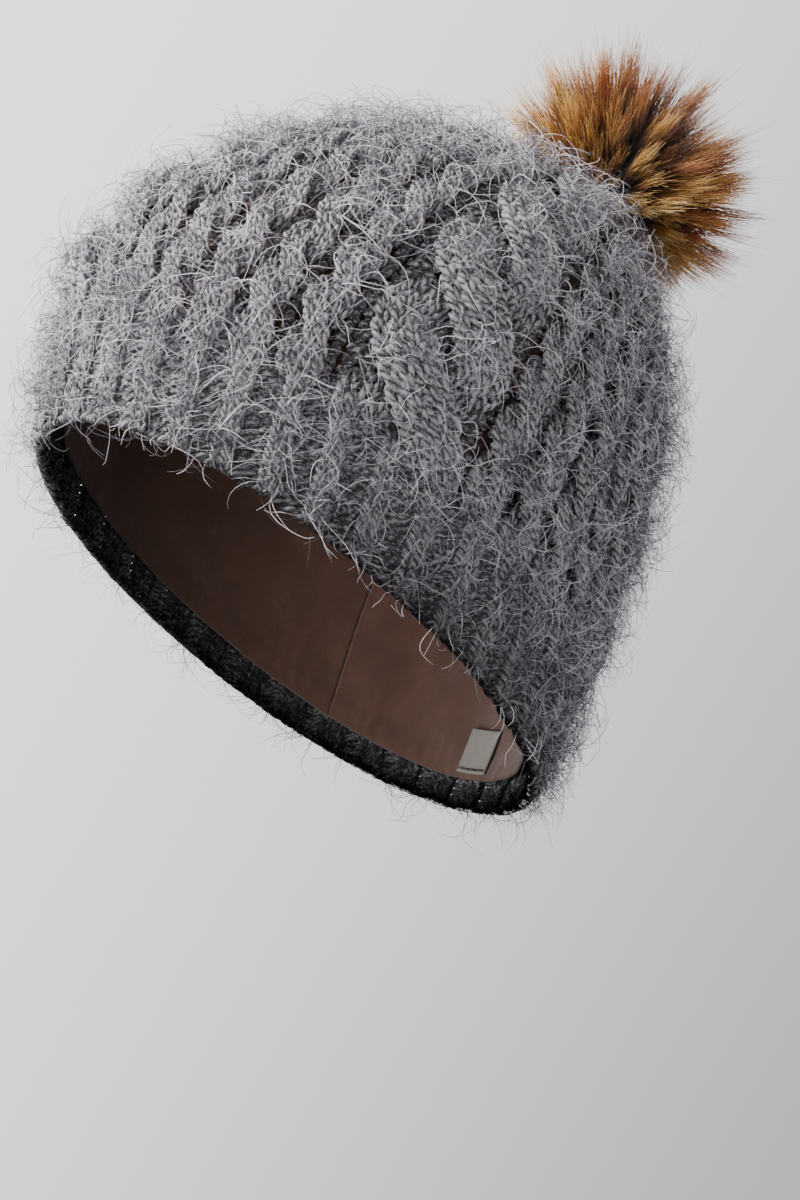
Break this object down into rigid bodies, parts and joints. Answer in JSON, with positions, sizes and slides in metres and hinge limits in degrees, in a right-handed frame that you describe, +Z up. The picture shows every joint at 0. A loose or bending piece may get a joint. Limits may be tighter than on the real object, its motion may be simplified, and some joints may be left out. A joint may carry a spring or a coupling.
{
  "type": "pom pom beanie",
  "caption": "Cable-knit fuzzy beanie with a ribbed brim, a brown lining and a faux-fur pom held by a press stud.",
  "frame": {"origin": "under the middle of the hat, in the plane of the brim's edge, which is its resting face", "axes": "+Z up through the crown, -Y towards the forehead, +X towards the wearer's left"},
  "size_m": [0.178, 0.2357, 0.2492],
  "materials": {
    "yarn": "matte",
    "seam_yarn": "matte",
    "felt": "matte",
    "lining": "satin",
    "thread": "satin",
    "label": "satin",
    "nickel": "satin",
    "spring_steel": "bright",
    "fur_backing": "matte",
    "wadding": "matte",
    "fur": "silky"
  },
  "bodies": {
    "hat": {"rib_brim": "yarn", "knit_body": "yarn", "back_seam_yarn": "seam_yarn", "crown_gather_yarn": "seam_yarn", "crown_patch": "felt", "lining_front": "lining", "lining_left": "lining", "lining_back": "lining", "lining_right": "lining", "lining_hem_thread": "thread", "care_label": "label", "snap_back_cap": "nickel", "snap_stud": "nickel"},
    "snap_grip": {"snap_spring": "spring_steel"},
    "pom_base": {"snap_socket": "nickel", "socket_cap": "nickel", "pom_base_disc": "felt"},
    "pom_neck": {"pom_draw_thread": "thread"},
    "pom_ball": {"pom_fur_backing": "fur_backing", "pom_stuffing": "wadding", "pom_fur_pile": "fur"}
  },
  "joints": [
    {"name": "pom_unsnap", "type": "slide", "parent": "hat", "child": "snap_grip", "axis": [0, 0.2079, 0.9781], "range_m": [0, 0.05]},
    {"name": "pom_turn", "type": "hinge", "parent": "snap_grip", "child": "pom_base", "pos_m": [0, 0.021, 0.181], "axis": [0, 0.2079, 0.9781], "continuous": true},
    {"name": "pom_nod", "type": "hinge", "parent": "pom_base", "child": "pom_neck", "pos_m": [0, 0.02245, 0.18785], "axis": [1, 0, 0], "range_deg": [-15, 15], "stiffness_Nm_per_rad": 0.6, "springref_deg": 0.32},
    {"name": "pom_sway", "type": "hinge", "parent": "pom_neck", "child": "pom_ball", "pos_m": [0, 0.02245, 0.18785], "axis": [0, 0.9781, -0.2079], "range_deg": [-15, 15], "stiffness_Nm_per_rad": 0.6}
  ]
}
